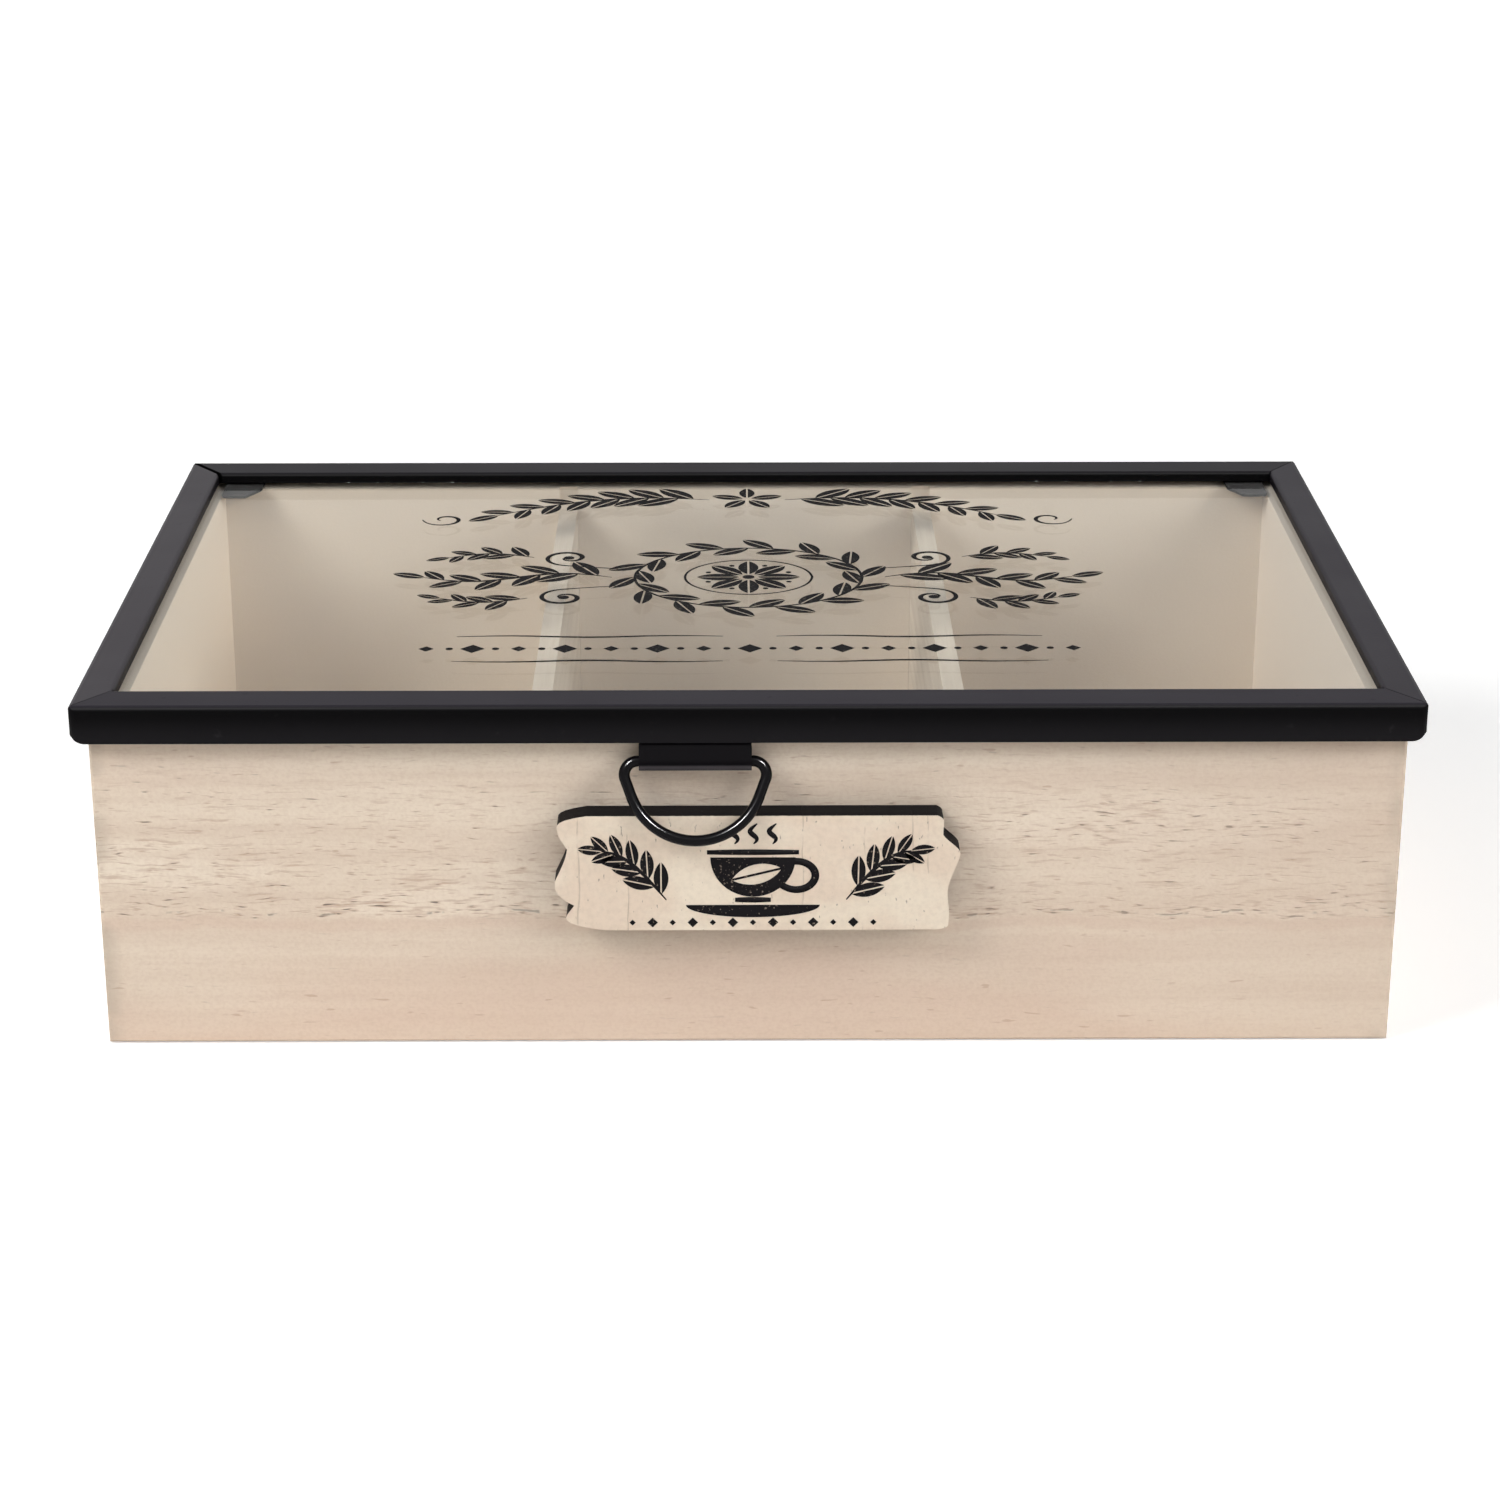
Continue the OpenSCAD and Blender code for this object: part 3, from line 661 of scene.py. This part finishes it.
# %% [markdown]
# The pane is real glass to the eye: it bends and mirrors. Its index of refraction is set low, since
# the true 1.5 would lay the white horizon over the inside as a veil at this flat angle. Lamps and
# soft light could reach the inside only as caustics, which are slow and noisy, so for shadow and
# diffuse rays a Mix Shader swaps the glass for a clear shader. What is under the pane is then lit
# as through thin glass.

# %% Glass
glass = Finish("clear_glass")
pane = glass.surface(
    Base_Color=colour(250, 251, 250),
    Roughness=0.0,
    IOR=1.1,
    Transmission_Weight=1.0,
)
clear = glass.node("BsdfTransparent", inputs={"Color": (0.97, 0.975, 0.97, 1)})
light_rays = rays(glass, "Shadow", "Diffuse")
clear_glass = glass.done(glass.node("MixShader", inputs={0: light_rays, 1: pane, 2: clear}))
dress(clear_glass, "glass_pane")

# %% [markdown]
# The clips under the glass are dull grey sheet, and the hinges, their pins and screws are blackened
# steel. Both are metal, so their colour comes from what they mirror, broken by fine rolling marks
# and by stains where the surface has gone duller.

# %% Clips and hinges
STAIN_GREY = colour(70, 66, 62)
CLIP_GREY = colour(30, 29, 29)
HINGE_GREY = colour(92, 90, 88)

def bare_metal(name, tone, roughness, marks):
    metal = Finish(name)
    place = metal.place()
    rolled = metal.grain(place, marks, detail=3, roughness=0.6)
    stain = metal.grain(place, (90, 90, 90), detail=3)
    dull = metal.mix(metal.between(stain, 0.5, 0.75) * 0.4, tone, STAIN_GREY)
    return metal.done(metal.surface(
        Base_Color=dull,
        Metallic=1.0,
        Roughness=roughness + 0.15 * rolled,
        Normal=metal.bump(rolled, 0.00003, 0.5),
    ))

sides = ("left", "right")
clips = [f"glass_clip_{end}_{side}" for end in ("front", "rear") for side in sides]
dress(bare_metal("clip_grey", CLIP_GREY, roughness=0.6, marks=(120, 1500, 1500)), *clips)
hinge_pieces = ("leaf_box", "leaf_lid", "pin", "screws")
hinges = [f"hinge_{piece}_{side}" for piece in hinge_pieces for side in sides]
dress(bare_metal("hinge_steel", HINGE_GREY, roughness=0.36, marks=(90, 1600, 1600)), *hinges)

# %% [markdown]
# The pane and the plaque carry a print of leaves and blossoms. A print could be painted inside
# their materials, but a shape worked out from noise and sums is hard to draw and turns soft close
# up. Here each motif is a real film of ink, a few hundredths of a millimetre thick: a leaf, a
# petal, a dot and a diamond are cut from circles once, and strokes are curves that are thick in
# the middle and thin at their ends. Everything is laid out flat around the origin, in millimetres.

# %% Ink shapes
MM = 0.001
FILM = 0.03 * MM
LEAF_STEPS = 10

def alone(piece):
    """Selects one piece and nothing else."""
    bpy.ops.object.select_all(action="DESELECT")
    piece.select_set(True)
    bpy.context.view_layer.objects.active = piece

def finish_modifiers(piece):
    alone(piece)
    for modifier in list(piece.modifiers):
        bpy.ops.object.modifier_apply(modifier=modifier.name)
    return piece

def as_film(piece):
    """Gives a flat shape the thickness of a print."""
    coat = piece.modifiers.new("film", "SOLIDIFY")
    coat.thickness = FILM
    coat.offset = 0
    return finish_modifiers(piece)

def disc(name, vertices, radius, x=0.0, y=0.0):
    """A flat round face, its middle at x and y, in millimetres."""
    bpy.ops.object.select_all(action="DESELECT")
    bpy.ops.mesh.primitive_circle_add(
        vertices=vertices, radius=radius * MM, fill_type="NGON", location=(x * MM, y * MM, 0)
    )
    piece = bpy.context.object
    piece.name = name
    bpy.ops.object.transform_apply(location=True)
    return piece

def keep_side(piece, x, y, towards_x, towards_y):
    """Cuts a flat piece along a line and keeps the side that lies in one direction."""
    alone(piece)
    bpy.ops.object.mode_set(mode="EDIT")
    bpy.ops.mesh.select_all(action="SELECT")
    bpy.ops.mesh.bisect(
        plane_co=(x * MM, y * MM, 0), plane_no=(towards_x, towards_y, 0), clear_inner=True
    )
    bpy.ops.object.mode_set(mode="OBJECT")
    return piece

def leaf_shape(name, length, width, vein):
    """A leaf from its stalk at the origin along X: two arcs with a clear line for the vein."""
    half = (width - vein) / 2
    radius = (length ** 2 / 4 + half ** 2) / (2 * half)
    opening = 2 * math.asin(length / 2 / radius)
    around = round(LEAF_STEPS * 2 * math.pi / opening)
    leaf = disc(name, around, radius, length / 2, half - radius)
    keep_side(leaf, 0, 0, 0, 1)
    alone(leaf)
    bpy.ops.transform.translate(value=(0, vein / 2 * MM, 0))
    bpy.ops.object.transform_apply(location=True)
    other_half = leaf.modifiers.new("other half", "MIRROR")
    other_half.use_axis = (False, True, False)
    other_half.use_mirror_merge = vein == 0
    return as_film(finish_modifiers(leaf))

motifs = {
    "leaf": leaf_shape("leaf", length=6.2, width=2.7, vein=0.26),
    "petal": leaf_shape("petal", length=8.4, width=4.1, vein=0.4),
    "dot": as_film(disc("dot", vertices=14, radius=0.5)),
    "diamond": as_film(disc("diamond", vertices=4, radius=0.95)),
}
print("ink motifs:", {name: len(piece.data.polygons) for name, piece in motifs.items()})

# %% [markdown]
# A print is a list of parts. A stamp copies a motif with its own mesh, turns and sizes it, and a
# stroke is a curve through points, made a mesh and pressed flat. At the end the parts are joined
# into one piece, which is laid on its surface: flat on the pane, or stood up on the plaque's face.

# %% Stamps and strokes
CURLED_IN = 0.78
LEAF_FADES = 0.35
LEAF_AT_TIP = 0.7

class Print:
    """One printed picture, gathered part by part."""

    def __init__(self, name):
        self.name = name
        self.parts = []

    def stamp(self, motif, x, y, degrees=0.0, size=1.0):
        alone(motifs[motif])
        bpy.ops.object.duplicate()
        copy = bpy.context.object
        copy.location = (x * MM, y * MM, 0)
        copy.rotation_euler.z = math.radians(degrees)
        copy.scale = (size, size, 1)
        self.parts.append(copy)

    def stroke(self, points, width, ends=0.3):
        bpy.ops.object.select_all(action="DESELECT")
        bpy.ops.curve.primitive_nurbs_path_add()
        line = bpy.context.object
        line.data.bevel_depth = width / 2 * MM
        line.data.bevel_resolution = 0
        line.data.resolution_u = 3
        line.data.twist_mode = "Z_UP"
        line.data.use_fill_caps = True
        spline = line.data.splines[0]
        spline.points.add(len(points) - len(spline.points))
        spline.order_u = 4
        spline.use_endpoint_u = True
        for step, (x, y) in enumerate(points):
            middle = math.sin(math.pi * step / (len(points) - 1))
            spline.points[step].co = (x * MM, y * MM, 0, 1)
            spline.points[step].radius = ends + (1 - ends) * middle
        bpy.ops.object.convert(target="MESH")
        line = bpy.context.object
        line.scale.z = FILM / (width * MM)
        bpy.ops.object.transform_apply(scale=True)
        self.parts.append(line)

    def laid(self, material, body, place, upright=False):
        """Joins the parts and lays the print on its surface."""
        bpy.ops.object.select_all(action="DESELECT")
        for part in self.parts:
            part.select_set(True)
        bpy.context.view_layer.objects.active = self.parts[0]
        bpy.ops.object.join()
        piece = bpy.context.object
        bpy.ops.object.transform_apply(location=True, rotation=True, scale=True)
        piece.name = self.name
        piece.location = place
        piece.rotation_euler.x = math.radians(90) if upright else 0.0
        bpy.ops.object.transform_apply(location=True, rotation=True)
        piece.data.materials.clear()
        piece.data.materials.append(material)
        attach(piece, body)
        print(self.name, "has", len(self.parts), "parts and", len(piece.data.polygons), "faces")
        return piece

def on_ellipse(x, y, width, height, degrees):
    """The point of an ellipse round x and y at an angle."""
    turn = math.radians(degrees)
    return x + width * math.cos(turn), y + height * math.sin(turn)

def arc(x, y, width, height, first, last, steps=16):
    """Points on part of an ellipse, from one angle in degrees to another."""
    turns = [first + (last - first) * step / steps for step in range(steps + 1)]
    return [on_ellipse(x, y, width, height, turn) for turn in turns]

def spiral(x, y, radius, first, sweep, steps=18):
    """Points that curl in towards x and y."""
    points = []
    for step in range(steps + 1):
        share = step / steps
        reach = radius * (1 - CURLED_IN * share)
        points.append(on_ellipse(x, y, reach, reach, first + sweep * share))
    return points

def leafy(picture, path, width, count, size, lean=38.0, start=0.08):
    """A stem with leaves on both sides in turn, and one at its tip."""
    picture.stroke(path, width)
    last = len(path) - 1
    for number in range(count):
        at = (start + (1 - start) * number / count) * last
        low = min(int(at), last - 1)
        (x0, y0), (x1, y1) = path[low], path[low + 1]
        share = at - low
        heading = math.degrees(math.atan2(y1 - y0, x1 - x0))
        side = lean if number % 2 else -lean
        fade = size * (1 - LEAF_FADES * number / count)
        picture.stamp("leaf", x0 + (x1 - x0) * share, y0 + (y1 - y0) * share, heading + side, fade)
    (x0, y0), (x1, y1) = path[-2], path[-1]
    heading = math.degrees(math.atan2(y1 - y0, x1 - x0))
    picture.stamp("leaf", x1, y1, heading, size * LEAF_AT_TIP)

# %% [markdown]
# Printing ink on glass and on wood looks alike: a soft black, a little worn. Fine specks let the
# ground show through as grey, and slow clouds make some places thinner than others.

# %% Ink
def printed_ink(name, tone, worn, wear):
    ink = Finish(name)
    place = ink.place()
    specks = ink.grain(place, (1500, 1500, 1500), detail=2, roughness=0.7)
    clouds = ink.grain(place, (110, 110, 110), detail=2)
    thin = ink.between(specks + 0.3 * (clouds - 0.5), 0.62 - wear, 0.72 - wear)
    return ink.done(ink.surface(
        Base_Color=ink.mix(thin * 0.8, tone, worn),
        Roughness=0.55 + 0.2 * specks,
        Specular_IOR_Level=0.03,
        Normal=ink.bump(specks, 0.00002, 0.3),
    ))

pane_ink = printed_ink(
    "pane_ink", tone=colour(17, 16, 18), worn=colour(84, 79, 74), wear=0.04
)
plaque_ink = printed_ink(
    "plaque_ink", tone=colour(24, 22, 24), worn=colour(140, 126, 112), wear=0.0
)

# %% [markdown]
# The pane's picture is a wreath round a blossom, with a leafy spray and curls on each side, a
# garland above and a row of diamonds below. The wreath comes first: two rings, leaves that lean
# out and in by turns along the outer one, and petals and dots round the middle. What lies on a
# ring is placed by its angle, so that a change of the ring's size takes it along.

# %% Wreath and blossom on the pane
pane_print = Print("pane_print")
WREATH_WIDE, WREATH_HIGH = 22.5, 19.0
WREATH_LEAVES = 28
PETALS = 8

pane_print.stroke(arc(0, 0, WREATH_WIDE, WREATH_HIGH, 0, 360, 48), 0.6, ends=1.0)
pane_print.stroke(arc(0, 0, 12.6, 11.0, 0, 360, 36), 0.5, ends=1.0)
for number in range(WREATH_LEAVES):
    turn = 360 * number / WREATH_LEAVES
    x, y = on_ellipse(0, 0, WREATH_WIDE, WREATH_HIGH, turn)
    run_x, run_y = on_ellipse(0, 0, WREATH_WIDE, WREATH_HIGH, turn + 90)
    heading = math.degrees(math.atan2(run_y, run_x))
    pane_print.stamp("leaf", x, y, heading + (34 if number % 2 else -34), 1.35)
for number in range(PETALS):
    turn = 360 * number / PETALS
    pane_print.stamp("petal", *on_ellipse(0, 0, 1.9, 1.9, turn), turn, 0.98)
    pane_print.stamp("dot", *on_ellipse(0, 0, 8.6, 7.8, turn + 180 / PETALS), 0, 1.1)
pane_print.stamp("dot", 0, 0, 0, 2.4)

# %% [markdown]
# The two sides match, so they are placed in a loop in which side is -1 or 1 and turns round what
# lies across the pane, and an inner loop does the same for what lies above and below. A Mirror
# modifier would give exact twins. This way each stem has its leaves in its own order, as if drawn
# by hand.

# %% Sprays, curls and garland on the pane
GARLAND_HIGH = 53

for side in (-1, 1):
    spray = [(side * (27 + 37 * s / 12), 2.6 * math.sin(2 * math.pi * s / 12)) for s in range(13)]
    leafy(pane_print, spray, 1.0, 9, 1.6)
    for lift in (-1, 1):
        stalk = [(side * 26, lift * 5.5), (side * 30, lift * 6.2)]
        curl = spiral(side * 36, lift * 12.6, 5.2, -90 * lift, side * lift * 440)
        pane_print.stroke(stalk + curl, 1.1)
        pane_print.stamp("dot", side * 36, lift * 12.6, 0, 2.2)
        bend = [13 + 2.6 * math.sin(math.pi * s / 6) for s in range(7)]
        sprig = [(side * (43 + 17 * s / 6), lift * bend[s]) for s in range(7)]
        leafy(pane_print, sprig, 0.8, 6, 1.15)
    droop = [-11 * (s / 14) ** 2 + 3 * math.sin(math.pi * s / 14) for s in range(15)]
    garland = [(side * (8 + 44 * s / 14), GARLAND_HIGH + droop[s]) for s in range(15)]
    leafy(pane_print, garland, 0.9, 13, 1.65)
    pane_print.stroke(spiral(side * 63, 39, 4.6, 90 - side * 90, -side * 400), 0.9)
for number in range(5):
    turn = 18 + 72 * number
    pane_print.stamp("petal", *on_ellipse(0, GARLAND_HIGH + 0.5, 1.0, 1.0, turn), turn, 0.8)

# %% [markdown]
# A row of diamonds and dots closes the picture below, with wavy lines over and under it. Then the
# parts are joined, and the print is laid on the glass and rides on the lid, so that it swings open
# with the pane.

# %% Row of diamonds, and the pane's print laid
ROW_HIGH = -43
ROW_STEP = 8.6
PANE_MIDDLE = (0.4, 2.0)

for number in range(-7, 8):
    pane_print.stamp("diamond", ROW_STEP * number, ROW_HIGH, 0, 1.5 if number % 2 else 2.4)
    if number < 7:
        pane_print.stamp("dot", ROW_STEP * (number + 0.5), ROW_HIGH, 0, 1.4)
for side in (-1, 1):
    for lift in (-1, 1):
        sway = [7 + 0.9 * math.sin(1.9 * s) for s in range(6)]
        wave = [(side * (5 + 10 * s), ROW_HIGH + lift * sway[s]) for s in range(6)]
        pane_print.stroke(wave, 0.9)

pane_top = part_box("glass_pane")[1].z
pane_print.laid(
    pane_ink, "lid", (PANE_MIDDLE[0] * MM, PANE_MIDDLE[1] * MM, pane_top + FILM)
)

# %% [markdown]
# The plaque's picture is a teacup on its saucer, with steam above, a leafy sprig on each side and
# small diamonds below. The cup's bowl and the saucer are half discs. A leaf is cut out of the bowl
# with a Boolean modifier, so that the cream face shows through it.

# %% Bowl and saucer on the plaque
plaque_print = Print("plaque_print")

bowl = as_film(keep_side(disc("bowl", 48, 7.6), 0, 0, 0, -1))
cutter = leaf_shape("cutter", 8.8, 3.8, 0.45)
alone(cutter)
bpy.ops.transform.resize(value=(1, 1, 8))
bpy.ops.transform.translate(value=(-3.6 * MM, -4.3 * MM, 0))
cutter.rotation_euler.z = math.radians(14)
cut = bowl.modifiers.new("leaf cut out", "BOOLEAN")
cut.object = cutter
cut.operation = "DIFFERENCE"
finish_modifiers(bowl)
bpy.data.objects.remove(cutter)
bowl.location.y = 3.0 * MM
plaque_print.parts.append(bowl)

saucer = as_film(keep_side(disc("saucer", 48, 12.0), 0, 0, 0, -1))
saucer.scale.y = 0.2
saucer.location.y = -6.2 * MM
plaque_print.parts.append(saucer)

# %% [markdown]
# The rest of the cup is drawn in strokes: a rim, a foot, a handle along part of an ellipse and
# three wisps of steam. A sprig stands on each side, the right one a little further out to leave
# room for the handle, and the row of diamonds lies below.

# %% Rim, foot, handle, steam and sprigs
def bar(half, y, width):
    """A straight stroke across the cup's middle, a little thinner at its ends."""
    plaque_print.stroke([(half * (s - 3) / 3, y) for s in range(7)], width, ends=0.75)

bar(8.2, 4.0, 1.1)
bar(3.2, -5.2, 1.1)
plaque_print.stroke(arc(7.7, -0.5, 3.5, 2.8, 128, -140, 14), 1.4, ends=0.9)
for x in (-3.3, 0.1, 3.5):
    plaque_print.stroke(
        [(x + 0.75 * math.sin(1.05 * s), 5.6 + 3.9 * s / 7) for s in range(8)], 1.0, ends=0.2
    )
rise = [-5.2 + 9.4 * math.sin(0.5 * math.pi * s / 9) for s in range(10)]
for side, handle_room in ((-1, 0), (1, 1.2)):
    sprig = [(side * (15.5 + 11.5 * s / 9) + handle_room, rise[s]) for s in range(10)]
    leafy(plaque_print, sprig, 0.7, 9, 0.98)
for number in range(-6, 7):
    plaque_print.stamp("diamond", 3.6 * number, -9.6, 0, 1.0 if number % 2 else 0.6)

# %% [markdown]
# The print is stood upright a hair in front of the plaque's face and rides on the box. The motifs
# that the stamps were copied from aren't needed any more.

# %% The plaque's print laid
CUP_LEFT = 0.0008
CUP_HIGH = 0.0356

cup_middle = (plaque_low.x + plaque_high.x) / 2 - CUP_LEFT
plaque_print.laid(
    plaque_ink, "box", (cup_middle, plaque_low.y - FILM, CUP_HIGH), upright=True
)
for motif in motifs.values():
    bpy.data.objects.remove(motif)
